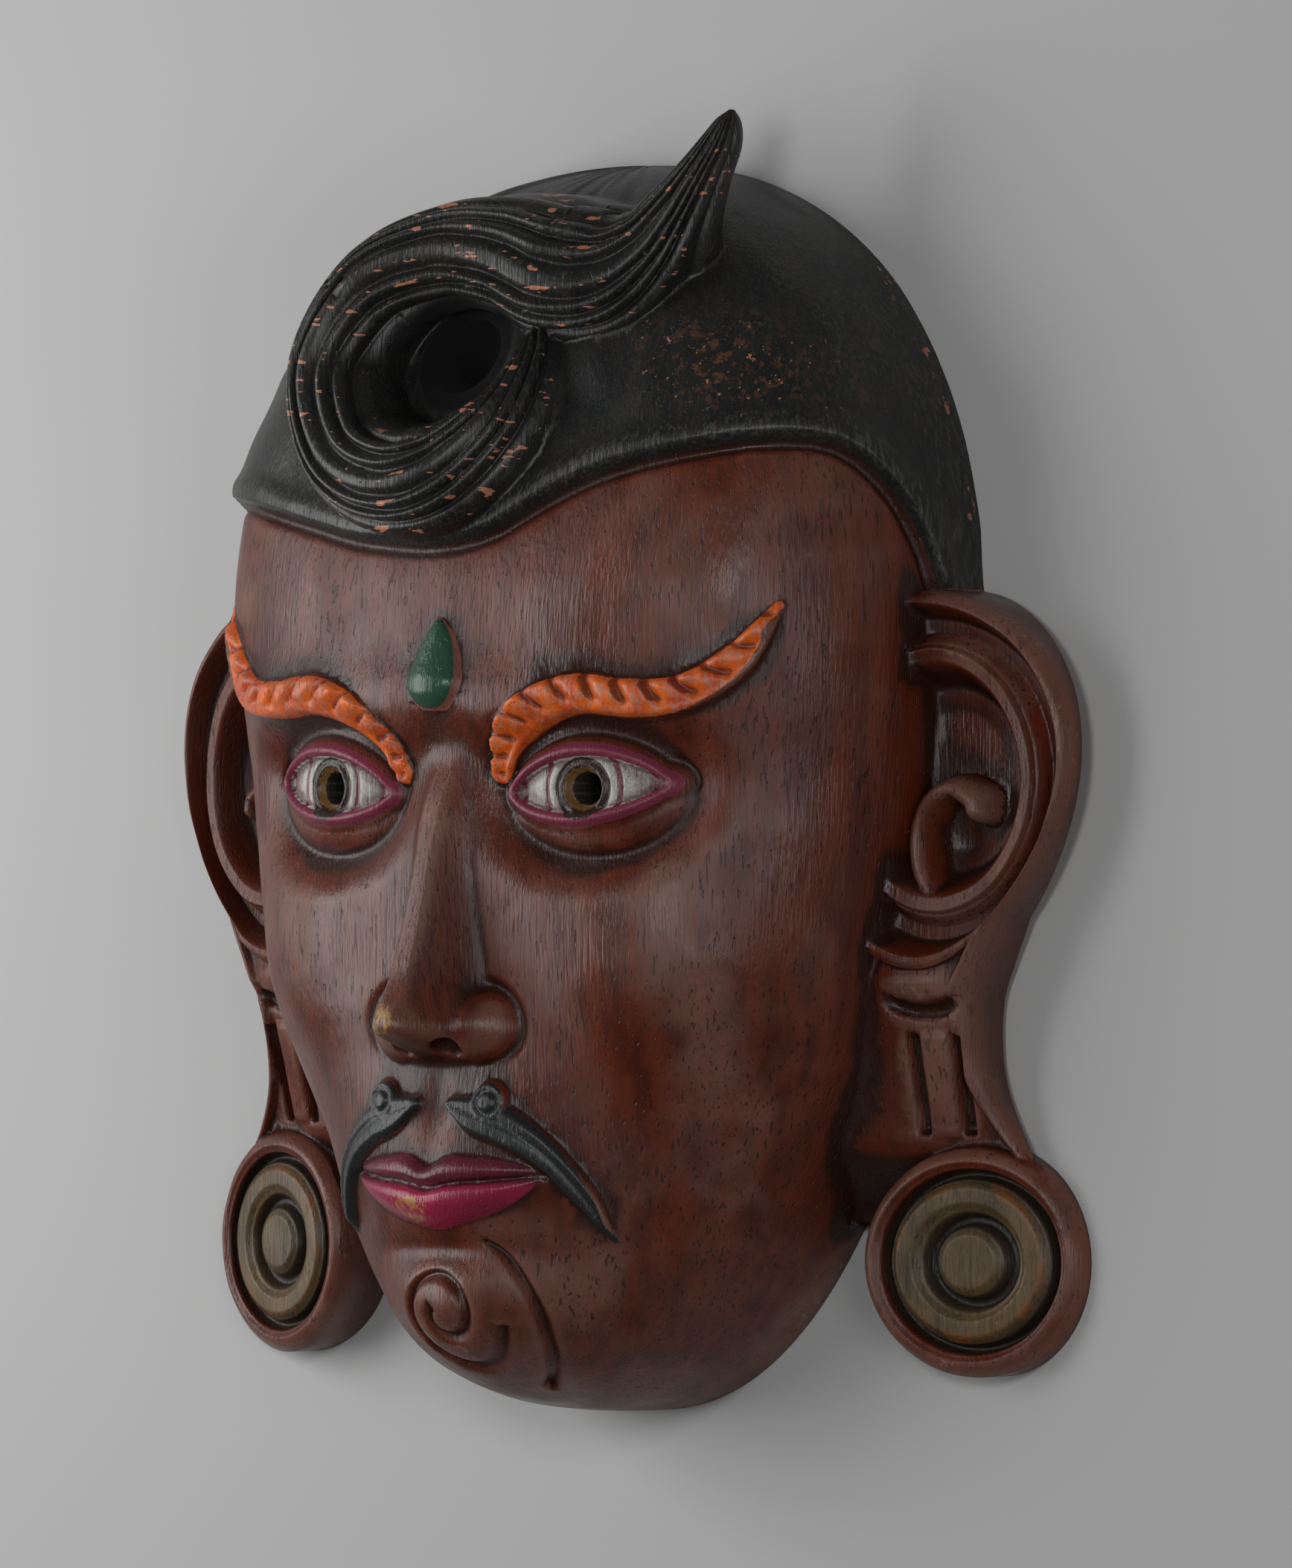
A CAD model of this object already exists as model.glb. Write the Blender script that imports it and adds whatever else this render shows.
# %% [markdown]
# # A carved and painted dance mask
# The real mask is one block of light wood: a face in high relief in front, a hollow for the
# wearer's face behind. It could be sculpted by hand, but a carver works from a few simple rules
# (a rounded block, equal thirds, ovals inside ovals), so each form here is a formula over x and
# y in millimetres, and the pieces are joined and cut as solids, as the block itself was.

# %% Load the fixed frame
import math

import bpy
import bmesh
import numpy as np
from mathutils import Matrix, Vector


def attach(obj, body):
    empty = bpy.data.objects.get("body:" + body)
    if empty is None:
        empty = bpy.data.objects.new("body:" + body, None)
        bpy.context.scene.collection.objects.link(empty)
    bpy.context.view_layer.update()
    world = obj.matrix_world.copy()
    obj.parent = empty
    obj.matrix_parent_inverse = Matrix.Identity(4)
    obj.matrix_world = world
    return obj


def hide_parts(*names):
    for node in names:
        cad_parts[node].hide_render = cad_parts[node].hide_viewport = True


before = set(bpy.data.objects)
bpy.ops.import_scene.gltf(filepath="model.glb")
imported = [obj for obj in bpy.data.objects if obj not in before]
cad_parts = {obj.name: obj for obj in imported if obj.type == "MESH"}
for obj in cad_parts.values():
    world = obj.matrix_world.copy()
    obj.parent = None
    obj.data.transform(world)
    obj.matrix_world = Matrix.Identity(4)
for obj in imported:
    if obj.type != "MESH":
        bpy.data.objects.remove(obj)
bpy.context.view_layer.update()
scene = bpy.context.scene
mm = 0.001
fine = 1.0
print("frame holds", sorted(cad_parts))


def in_scene(name, data):
    """A new object in the scene, made from its data."""
    thing = bpy.data.objects.new(name, data)
    scene.collection.objects.link(thing)
    return thing


# %% [markdown]
# ## The camera
# The mask lies on its back with the face up. The photograph looks at it from 40 degrees to one
# side, with the crown at the top of the picture. A long lens far away keeps the face from
# bulging, so the nose doesn't grow and the ears don't shrink.

# %% The camera
view_turn = math.radians(40)
camera_far = 3
camera_target = Vector((0.0046, -0.004, 0.0061))
toward_camera = Vector((math.sin(view_turn), 0, math.cos(view_turn)))
camera_data = bpy.data.cameras.new("camera")
camera_data.lens = 300
camera = in_scene("camera", camera_data)
camera_up = Vector((0, 1, 0))
camera_axes = Matrix((camera_up.cross(toward_camera), camera_up, toward_camera)).transposed()
camera_place = Matrix.Translation(camera_target + toward_camera * camera_far)
camera.matrix_world = camera_place @ camera_axes.to_4x4()
scene.camera = camera
print("camera", camera_far, "m from the mask")

# %% [markdown]
# ## Landmarks
# A carver marks the block before the first cut: the middle line, the eyes at half the height of
# the head, and three equal steps from brow to nose, nose to mouth and chin. The same values
# stand in the part's own source, so this surface and the solid it replaces agree.

# %% Driving dimensions, in millimetres
head_height = 286
head_half_width = 94
head_depth = 72
wall = 14
cap_thickness = 3.4
lock_rise = 10
chin_y = -(head_height + lock_rise) / 2
crown_y = chin_y + head_height
eye_y = (chin_y + crown_y) / 2
brow_y = eye_y + 19
nose_base_y = (brow_y + chin_y) / 2
mouth_y = nose_base_y + (chin_y - nose_base_y) / 3
nose_tip_y = nose_base_y + 9
eye_x = head_half_width * 2 / 5
pupil_radius = 3.7
iris_radius = 6.4
round_head = 88
print("eyes", eye_y, "nose", nose_base_y, "mouth", round(mouth_y, 1), "chin", chin_y)


# %% [markdown]
# ## Four small rules
# Nearly every form is made from four curves: a smooth step, a bell, a blend of two heights that
# keeps the taller one, and a profile through a few knots. Each is one short formula, so any of
# them can be tried and changed alone.

# %% Steps, bells and profiles
def smooth(low, high, x):
    """A step from 0 at low to 1 at high, level at both ends."""
    t = np.clip((x - low) / (high - low), 0, 1)
    return t * t * (3 - 2 * t)


def bell(x, y, at, size):
    """A rounded hill of height 1 at a place, falling away over a size in x and y."""
    return np.exp(-(((x - at[0]) / size[0]) ** 2) - ((y - at[1]) / size[1]) ** 2)


def ridge(x, at, width):
    """A bell along one axis: a long raised or sunk line."""
    return np.exp(-(((x - at) / width) ** 2))


def taller(a, b, soft):
    """The higher of two heights, with the corner between them rounded."""
    return (a + b + np.hypot(a - b, soft)) / 2


def profile(knots, x):
    """A smooth height through knots of place and height, level at each knot."""
    height = np.full(np.shape(x), float(knots[0][1]))
    for (x0, h0), (x1, h1) in zip(knots[:-1], knots[1:]):
        height = height + (h1 - h0) * smooth(x0, x1, x)
    return height


print("half of a step is", smooth(0, 1, 0.5), "and a quarter of it", smooth(0, 1, 0.25))


# %% [markdown]
# ## Drawn lines
# The carver draws brows, moustache and hair edge on the block first. Such a line could be a
# curve object, but as an array of points it can tell how far away any spot of wood lies, and
# that distance shapes the cut and later its paint.

# %% Smooth lines
def smooth_line(knots, count):
    """Points on a curve through the knots: each span is a cubic whose slope at a knot is half the
    step between its neighbours."""
    knots = np.array(knots, float)
    padded = np.vstack([2 * knots[0] - knots[1], knots, 2 * knots[-1] - knots[-2]])
    at = np.linspace(0, len(knots) - 1, count + 1)
    span = np.minimum(at.astype(int), len(knots) - 2)
    t = (at - span)[:, None]
    a, b, c, d = (padded[span + i] for i in range(4))
    return b + t * (c - a + t * (2 * a - 5 * b + 4 * c - d + t * (3 * b - a - 3 * c + d))) / 2


def beside(line, x, y, count=56):
    """Where points lie beside a smooth line: distance, signed distance (left is positive), share
    of the way along, and the line's own half width there."""
    path = smooth_line([tuple(p) + (0,) * (3 - len(p)) for p in line], count)
    away = np.full(x.shape, np.inf)
    across, along, half = (np.zeros(x.shape) for _ in range(3))
    for i, (start, end) in enumerate(zip(path[:-1], path[1:])):
        run = end - start
        t = ((x - start[0]) * run[0] + (y - start[1]) * run[1]) / (run[:2] @ run[:2])
        t = np.clip(t, 0, 1)
        dx = x - start[0] - t * run[0]
        dy = y - start[1] - t * run[1]
        d = np.hypot(dx, dy)
        near = d < away
        away = np.where(near, d, away)
        across = np.where(near, d * np.sign(run[0] * dy - run[1] * dx), across)
        along = np.where(near, (i + t) / count, along)
        half = np.where(near, start[2] + t * run[2], half)
    return away, across, along, half


print("a line of 3 knots gives", len(smooth_line([(0, 0), (1, 2), (2, 0)], 20)), "points")


# %% [markdown]
# ## Soft irregularity
# Nothing cut by hand is quite even. A smooth random field of a known grain size, made once from
# a fixed seed, moves surfaces by fractions of a millimetre, which breaks the highlights into the
# broad planes that a chisel leaves.

# %% A repeatable random field
grid_cells = 64
random_grid = np.random.default_rng(7).uniform(-1, 1, (grid_cells, grid_cells))


def uneven(x, y, size, seed=0):
    """Smooth random values between -1 and 1 with features of the given size: the four nearest
    grid values are blended with smooth steps."""
    gx = x / size + 17.3 * seed + 200
    gy = y / size + 9.1 * seed + 200
    ix, iy = np.floor(gx).astype(int), np.floor(gy).astype(int)
    fx, fy = smooth(0, 1, gx - ix), smooth(0, 1, gy - iy)
    corner = [random_grid[(ix + i) % grid_cells, (iy + j) % grid_cells] for j in (0, 1) for i in (0, 1)]
    low = corner[0] * (1 - fx) + corner[1] * fx
    high = corner[2] * (1 - fx) + corner[3] * fx
    return low * (1 - fy) + high * fy


print("random grid from", random_grid.min().round(3), "to", random_grid.max().round(3))


# %% [markdown]
# ## The rounded block
# The plain head is half of a squarish egg: every level section is a superellipse, rounder at the
# chin than under the hair. Two numbers place a point on it: an angle from straight ahead, and a
# height.

# %% The plain head
form_top = crown_y - cap_thickness
form_mid = (chin_y + form_top) / 2
form_half = (form_top - chin_y) / 2


def section_at(y, width=head_half_width, depth=head_depth):
    """Half width, depth and squareness of the level section at a height."""
    t = np.clip((y - form_mid) / form_half, -1, 1)
    a = np.abs(t)
    taper = np.where(t > 0, (1 - a**2.2) ** 0.5, (1 - a**9) ** 0.385)
    jaw = np.where(t > 0, 1 + 0.14 * t, 1 + 0.2 * t)
    half_width = width * jaw * (1 - a**2.5) ** 0.44
    power = 2.5 + 0.8 * smooth(0, 0.5, t) - 0.4 * smooth(0, -0.8, t)
    return half_width, (depth - 3 * t * t) * taper, power


def on_section(half_width, depth, power, angle):
    """The superellipse point in the direction of an angle."""
    w = np.maximum(half_width, 1e-9)
    d = np.maximum(depth, 1e-9)
    total = np.abs(np.sin(angle) / w) ** power + np.abs(np.cos(angle) / d) ** power
    reach = total ** (-1 / power)
    return reach * np.sin(angle), reach * np.cos(angle)


def plain_sheet(columns, rows):
    """A grid of points on the plain head, with the angle and height of each."""
    angle, v = np.meshgrid(np.linspace(-np.pi / 2, np.pi / 2, columns), np.linspace(0, 1, rows))
    y = form_mid + form_half * np.sin(np.pi * (v - 0.5))
    x, z = on_section(*section_at(y), angle)
    return np.stack([x, y, z], axis=-1), angle, y


print("plain head", round(2 * form_half, 1), "mm tall without the hair")


# %% [markdown]
# ## The eyes
# Everything on the face is a height added straight out from the block. The face is a calm,
# general one on the marked thirds. A bulging eye lies between raised lids in a sunk socket. A
# ball object would leave a hard seam, so the ball is a dome blended into the socket, and the
# lids are ridges at a set distance from the almond of the opening.

# %% The eyes
eye_half = head_half_width / 5
lid_rise, lid_drop, lid_tilt = 7.4, 5.6, 1.1
arc_reach, arc_shift = 6.4, 3.5


def eye_opening(x, y):
    """Signed distance into the almond between the lids, positive inside."""
    k = (x - eye_x) / eye_half
    mid = eye_y + lid_tilt * k
    arch = np.clip(1 - k * k, 0, 1) ** 0.8
    inside = np.minimum(mid + lid_rise * arch - y, y - mid + lid_drop * arch)
    outside = -np.hypot((np.abs(k) - 1) * eye_half, y - mid)
    return np.where(np.abs(k) < 1, inside, outside)


def eye_forms(x, y):
    """Socket, ball, lids, the ring cut round the iris with an arc on each side of it, and the
    funnel of the pierced pupil."""
    q = np.hypot((x - eye_x - 1) / 33, (y - eye_y - 1) / np.where(y > eye_y + 1, 19, 25))
    socket = -10 * (1 - smooth(0.32, 1.12, q))
    dome = 1 - ((x - eye_x) / 25) ** 2 - ((y - eye_y + 0.5) / 15.5) ** 2
    ball = np.where(dome > 0, 9.5 * np.sqrt(np.maximum(dome, 0)) - 9.2, -20)
    opening = eye_opening(x, y)
    r = np.hypot(x - eye_x, y - eye_y)
    white = smooth(-0.5, 0.5, opening)
    z = taller(socket, ball, 1.2)
    z = z - 1.3 * smooth(-0.3, 0.5, opening)
    z = z + 1.4 * ridge(opening, -1.4, 1.15)
    z = z - 1.2 * ridge(opening, -5, 0.9) * smooth(-2, 2, y - eye_y)
    z = z - 0.4 * ridge(opening, -4.2, 0.8) * smooth(2, -2, y - eye_y)
    z = z - 0.8 * ridge(r, iris_radius, 0.6) * white
    for shift in (arc_shift, -arc_shift):
        from_arc = np.hypot(x - eye_x + shift, y - eye_y)
        z = z - 0.6 * ridge(from_arc, iris_radius + arc_reach, 0.5) * white
    return z - 2.6 * (1 - smooth(pupil_radius, pupil_radius + 1.6, r))


print("eyes", round(2 * eye_half, 1), "mm wide and", round(2 * eye_x, 1), "mm apart")


# %% [markdown]
# ## The nose and the lips
# The nose is a ridge that widens to a ball with a wing on each side. The closed lips are two
# swellings with a cut between them. Separate lumps could be joined, but adding rounded heights
# keeps the soft passage into the cheek that a knife leaves.

# %% The nose and the lips
lip_half, lip_upper, lip_lower = 27, 7, 9.5


def nose_forms(x, y):
    """A ridge that widens to the tip, a ball at the tip and a wing with a crease behind it."""
    t = np.clip((brow_y - 4 - y) / (brow_y - 4 - nose_tip_y), 0, 1)
    height = 21 * t**1.1 * smooth(nose_base_y - 1.5, nose_tip_y - 1, y)
    bridge = height * (1 - smooth(0.14, 1, x / (7 + 8.5 * t**1.3)))
    tip = 2.6 * bell(x, y, (0, nose_tip_y + 1.5), (8, 6))
    wing = 1 - ((x - 11.5) / 9.6) ** 2 - ((y - nose_tip_y + 0.5) / 8.6) ** 2
    flare = 8.4 * np.clip(wing, 0, 1) ** 0.72
    crease = 0.9 * ridge(np.sqrt(np.maximum(1 - wing, 0)), 1.12, 0.14)
    crease = crease * smooth(10, 14, x) * smooth(-4, 1, y - nose_tip_y + 6)
    return taller(bridge + tip, flare, 5) - 2.5 - crease


def lip_lines(x):
    """Height of the line between the lips, and the height of each lip above and below it."""
    k = np.clip(x / lip_half, 0, 1)
    seam = mouth_y + 2 * k * k - 1.1 * ridge(x, 0, 5)
    close = (1 - k**2.2) ** 0.7
    return seam, close * (lip_upper - 1.6 * ridge(x, 0, 3.6)), close * lip_lower, close


def lip_forms(x, y):
    """Two swellings that meet in a cut, each highest near the cut."""
    seam, upper, lower, close = lip_lines(x)
    above = y > seam
    f = np.abs(y - seam) / np.maximum(np.where(above, upper, lower), 0.3)
    full = np.where(above, 3.1, 4) * close**0.6
    swell = np.where(f < 1, full * np.sin(np.pi * (0.18 + 0.82 * np.minimum(f, 1))) ** 0.8, 0)
    return swell - 1.6 * ridge(y, seam, 0.9) * (1 - smooth(lip_half - 2, lip_half + 3, x))


print("nose stands", round(float(nose_forms(0.0, nose_tip_y)), 1), "mm out of the face")


# %% [markdown]
# ## The whole face
# Cheeks, chin and brow bone are broad swellings with no edge. Bells give exactly that, and since
# all the heights are sums, each one can be changed alone.

# %% The whole face
def face_forms(x, y):
    """All heights added straight out from the block, from the forehead to the chin."""
    x = np.abs(x)
    z = 3 * bell(x, y, (0, brow_y + 26), (60, 22))
    z += 3.4 * ridge(y, brow_y + 1, 9) * (1 - smooth(52, 80, x))
    z -= 3 * bell(x, y, (0, brow_y - 11), (12, 8))
    z += 5 * bell(x, y, (54, -44), (23, 21))
    z -= 3 * bell(x, y, (58, -88), (17, 20))
    z += 6 * bell(x, y, (0, mouth_y + 3), (31, 20))
    z += 9 * bell(x, y, (0, chin_y + 22), (24, 15))
    z -= 3 * bell(x, y, (0, mouth_y - 15.5), (22, 4.5))
    z -= 1.5 * bell(x, y, (0, nose_base_y - 9), (3.2, 8))
    return z + eye_forms(x, y) + nose_forms(x, y) + lip_forms(x, y)


print("brow height in the middle", round(float(face_forms(0.0, brow_y)), 2), "mm")


# %% [markdown]
# ## The hair cap
# The cap is one thin layer left standing round the head, with a rolled edge and a groove in
# front of it. It could be a second shell, but a height that depends on the distance into its
# drawn edge keeps cap and head one surface.

# %% The edge of the hair cap
hair_edge = [
    (-150, 33), (-138, 33), (-127, 38), (-122, 46), (-115, 54), (-104, 59.5), (-90, 61), (-74, 59),
    (-56, 55.5), (-38, 52), (-22, 50.5), (-5, 50), (14, 52.5), (33, 60), (50, 66), (70, 70.5), (90, 73),
    (104, 71), (115, 61.5), (122, 50), (127, 38), (138, 33), (150, 33),
]


def inside_hair(angle, y):
    """Signed distance into the hair, measured round the head, positive under the cap."""
    return beside(hair_edge, angle * round_head, y)[1]


def cap_rise(angle, y):
    """The cap's own thickness, a roll along its edge and a cut in front of the roll."""
    inside = inside_hair(angle, y)
    layer = cap_thickness * smooth(-0.5, 0.9, inside)
    roll = 0.9 * ridge(inside, 3, 2.6)
    cut = -0.9 * ridge(inside, -1.3, 1.1)
    hand = 0.35 * uneven(angle * round_head, y, 9) * smooth(0, 6, inside)
    return layer + roll + cut + hand


print("hair edge", len(hair_edge), "knots")


# %% [markdown]
# ## The brows
# Each brow is a raised band cut across with slanting notches, like a rope. The notches repeat
# evenly, so one saw-tooth wave along the drawn line cuts them all.

# %% The brows
brow_line = [
    (14.6, brow_y - 15.5, 2.6), (18, brow_y - 8.5, 3.6), (27, brow_y - 1.5, 4.6), (39, brow_y + 2.2, 4.6),
    (52, brow_y + 1.2, 4.4), (64, brow_y + 2.5, 4.1), (74, brow_y + 10, 3.4), (81.5, brow_y + 22, 0.8),
]
brow_length = 88
notch_spacing = 7.2


def brow_notch(across, along, half):
    """1 at the bottom of each slanting notch. A notch starts steeply and runs out softly, and it
    leaves the lower strip of the brow plain."""
    turn = (along * brow_length + across * 0.55) / notch_spacing + 0.25
    part = turn - np.floor(turn)
    cut = smooth(0, 0.13, part) * smooth(0.62, 0.13, part)
    return cut * smooth(-0.5, -0.1, across / np.maximum(half, 0.3))


def brow_rise(x, y):
    """A rounded band with a smooth lower strip and slanting notches across the rest."""
    away, across, along, half = beside(brow_line, np.abs(x), y)
    q = away / np.maximum(half, 0.3)
    carved = 1.9 * brow_notch(across, along, half)
    strip = 0.4 * ridge(across / np.maximum(half, 0.3), -0.42, 0.12)
    return (3 - carved - strip) * (1 - smooth(0.72, 1.12, q)) * smooth(0.4, 2.2, half)


print("brow notches", int(brow_length / notch_spacing))


# %% [markdown]
# ## The drop between the brows
# A small drop, pointed above and round below, is left standing on the forehead. An outline that
# narrows upwards and a round section give it without a separate solid.

# %% The drop between the brows
drop_y, drop_half, drop_up, drop_down, drop_rise = brow_y + 6, 7.4, 13.5, 7.5, 4.2


def drop_share(x, y):
    """0 in the middle of the drop, 1 on its outline, which is pointed above and round below."""
    dy = y - drop_y
    share = np.where(dy > 0, dy / drop_up, -dy / drop_down)
    narrowing = np.clip(1 - share, 0, 1) ** 0.75 * (1 + 0.35 * share)
    half = np.maximum(drop_half * np.where(dy > 0, narrowing, 1), 0.2)
    q = np.where(dy > 0, np.abs(x) / half, np.hypot(x / half, share))
    return np.where(share < 1, q, 2), share, dy


def drop_form(x, y):
    """A rounded drop, lower towards its point."""
    q, share, dy = drop_share(x, y)
    slope = np.where(dy > 0, np.clip(1 - share, 0, 1) ** 0.4, 1)
    return np.where(q < 1, drop_rise * np.sqrt(np.clip(1 - q * q, 0, 1)) * slope, 0)


print("drop", drop_up + drop_down, "mm tall")


# %% [markdown]
# ## The moustache and the chin curl
# The moustache is a low tapering band with a round boss. The curl on the chin is only a groove,
# and a spiral is simple to state: its distance from the middle grows evenly with the angle.

# %% The moustache and the chin curl
moustache_line = [
    (5, nose_base_y - 9, 1.4), (12, nose_base_y - 11.5, 4.4), (21, nose_base_y - 15, 4.3),
    (29, nose_base_y - 21, 3.4), (35, nose_base_y - 30, 2.6), (38.5, nose_base_y - 40, 0.5),
]
boss_x, boss_y, boss_radius = 15.5, nose_base_y - 8.5, 4.4
curl_y, curl_inner, curl_outer, curl_turns = chin_y + 24, 2.5, 14, 1.6
curl_depth, curl_half = 1.9, 1.2


def moustache_rise(x, y):
    """A tapering band with a round curl on it near the nose."""
    away, across, along, half = beside(moustache_line, np.abs(x), y)
    q = away / np.maximum(half, 0.3)
    band = 2.4 * (1 - smooth(0.6, 1.15, q)) * smooth(0.3, 1.6, half)
    band = band - 0.4 * ridge(across / np.maximum(half, 0.3), 0.1, 0.16) * (q < 1)
    r = np.hypot(np.abs(x) - boss_x, y - boss_y) / boss_radius
    return np.maximum(band, 3.2 * (1 - smooth(0.75, 1.15, r))) - 1.2 * ridge(r, 0.62, 0.16)


def chin_cut(x, y):
    """A spiral groove that opens upwards and outwards, with a short curved cut beside it."""
    dy = y - curl_y
    r = np.hypot(x, dy)
    angle = np.arctan2(dy, x)
    pitch = (curl_outer - curl_inner) / curl_turns
    turn = (angle - np.pi * 0.75) / (2 * np.pi)
    away = np.full(x.shape, np.inf)
    for n in range(-1, 4):
        t = turn + n
        here = np.abs(r - curl_inner - pitch * t)
        away = np.where((t >= 0) & (t <= curl_turns), np.minimum(away, here), away)
    narrowing = np.maximum(1.01 - np.abs(angle), 0.01) ** 0.2
    side_cut = np.abs(np.hypot(x - 3, dy) - curl_outer - 4.5) / narrowing
    away = np.where(np.abs(angle) < 1, np.minimum(away, side_cut), away)
    return -curl_depth * np.exp(-((away / curl_half) ** 2))


print("chin curl", 2 * curl_outer, "mm across")


# %% [markdown]
# ## The carved front
# Low forms stand square to the surface they lie on, while the face swells forwards. So a sheet
# over the whole head is moved twice: along its own normals, then straight out.

# %% The carved front of the head
def head_sheet(columns, rows):
    """The plain head with the hair and bands raised square to it and the face raised forwards."""
    points, angle, y = plain_sheet(columns, rows)
    x = points[..., 0]
    along = np.gradient(points, axis=1)
    up = np.gradient(points, axis=0)
    out = np.cross(along, up)
    length = np.linalg.norm(out, axis=-1, keepdims=True)
    pole = np.stack([0 * y, np.sign(y - form_mid), 0 * y], axis=-1)
    out = np.where(length > 1e-9, out / np.maximum(length, 1e-9), pole)
    front = smooth(0, 22, points[..., 2])
    raised = brow_rise(x, y) + drop_form(x, y) + moustache_rise(x, y) + chin_cut(x, y)
    planes = 0.3 * uneven(x, y, 17, 1) + 0.12 * uneven(x, y, 6, 2)
    points = points + out * (cap_rise(angle, y) + (raised + planes) * front)[..., None]
    points[..., 2] += face_forms(x, y) * front
    points[[0, -1]] = points[[0, -1]].mean(axis=1, keepdims=True) * [1, 1, 0]
    return points


# %% [markdown]
# ## From sheets to solids
# Joining and cutting needs closed solids. Every form here is a stack of closed rings: the head's
# rings run over the face and back under it, an ear's rings grow from a point in the middle to
# the rim and shrink again underneath, and the forelock's rings are its cross sections.

# %% Closed solids from rings
below = -6
part_names = ["from_head", "from_ear", "from_disc", "from_lock", "from_knife"]
from_head, from_ear, from_disc, from_lock, from_knife = range(5)


def solid_from_rings(name, rings, part, ends="point"):
    """Joins each ring of points to the next with four-sided faces. The first and last ring either
    shrink to a point or line already, or are closed by a fan from their middle."""
    stack, around = rings.shape[:2]
    points = rings.reshape(-1, 3)
    i, j = np.meshgrid(np.arange(around), np.arange(stack - 1))
    start, turn = j * around, (i + 1) % around
    quads = np.stack([start + i, start + turn, start + around + turn, start + around + i], axis=-1)
    faces = quads.reshape(-1, 4).tolist()
    if ends == "fan":
        points = np.vstack([points, rings[0].mean(0), rings[-1].mean(0)])
        k = np.arange(around)
        far = (stack - 1) * around
        after = (k + 1) % around
        faces += np.stack([k * 0 + len(points) - 2, after, k], axis=-1).tolist()
        faces += np.stack([k * 0 + len(points) - 1, far + k, far + after], axis=-1).tolist()
    mesh = bpy.data.meshes.new(name)
    mesh.from_pydata((points * mm).tolist(), [], faces)
    shape = bmesh.new()
    shape.from_mesh(mesh)
    bmesh.ops.remove_doubles(shape, verts=shape.verts, dist=2e-6)
    bmesh.ops.recalc_face_normals(shape, faces=shape.faces)
    for face in shape.faces:
        face.material_index = part
    shape.to_mesh(mesh)
    shape.free()
    for word in part_names:
        mesh.materials.append(bpy.data.materials.get(word) or bpy.data.materials.new(word))
    return in_scene(name, mesh)


def over_and_under(sheet):
    """Turns each row of a sheet into a closed ring by adding a point below each of its ends."""
    ends = sheet[:, [-1, 0]].copy()
    ends[..., 2] = below
    return np.concatenate([sheet, ends], axis=1)


def carve(base, others, operation):
    """Joins or cuts one solid after another, then drops the pieces that were used."""
    for other in others:
        join = base.modifiers.new(other.name, "BOOLEAN")
        join.operation = operation
        join.solver = "MANIFOLD"
        join.object = other
    graph = bpy.context.evaluated_depsgraph_get()
    result = bpy.data.meshes.new_from_object(base.evaluated_get(graph))
    base.modifiers.clear()
    base.data = result
    for other in others:
        bpy.data.objects.remove(other)


head_columns, head_rows = int(420 * fine), int(540 * fine)
head = solid_from_rings("head", over_and_under(head_sheet(head_columns, head_rows)), from_head)
print("head", len(head.data.polygons), "faces")

# %% [markdown]
# ## Ears and earrings
# Ear, neck and earring are carved from one slab that sweeps back from the head. Each could be
# placed by hand, but one formula for the height of the slab lets all three meet without a step.

# %% The slab that carries ears and earrings
rim_round = 4


def slab(x, y):
    """Height of the slab: it leans back to the side and sinks from the ear to the earring."""
    high = smooth(-95, -36, y)
    return 14.1 + 10.9 * high - (0.3 - 0.05 * high) * (x - 88)


def rim_drop(inset):
    """How far a rounded edge falls below the slab near its outline: a quarter circle."""
    near = rim_round - np.clip(inset, 0, rim_round)
    return rim_round - np.sqrt(rim_round**2 - near**2)


print("slab height at the ear", round(float(slab(96, -3)), 1), "mm")


# %% [markdown]
# ## The ear
# An ear is two ridges round a hollow with a curl standing in it. It is built as a set of ovals:
# inside ring 1 they share the middle of the hollow, and from ring 1 to ring 2 they grow into the
# egg-shaped outline, so the valley is narrow at the side and wide above and below.

# %% The ear
ear_x, ear_y, ear_half_width, ear_half_height = 96, -3, 36, 42.5
inner_x, inner_half_width, inner_half_height = 100.5, 22.5, 29
ear_knots = [
    (0.52, -11.5), (0.7, -10.6), (0.93, -1.8), (1.02, -1.4), (1.1, -3.2), (1.3, -6.8), (1.5, -6.5),
    (1.83, 0.4), (1.9, 0.5), (2, 0),
]
curl_line = [
    (106, -33, 3), (99.5, -29.5, 3.4), (95.6, -23, 3.3), (95, -15, 3), (97.6, -8, 3), (102.6, -5, 3.3),
    (107.4, -7.2, 3.9), (108.6, -10, 3.4),
]


def closed_rings(top, centre):
    """Adds a ring straight below the last one and a point in the middle of the foot."""
    foot = top[-1:].copy()
    foot[..., 2] = below
    middle = np.zeros_like(foot) + [centre[0], centre[1], below]
    return np.concatenate([top, foot, middle])


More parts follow.
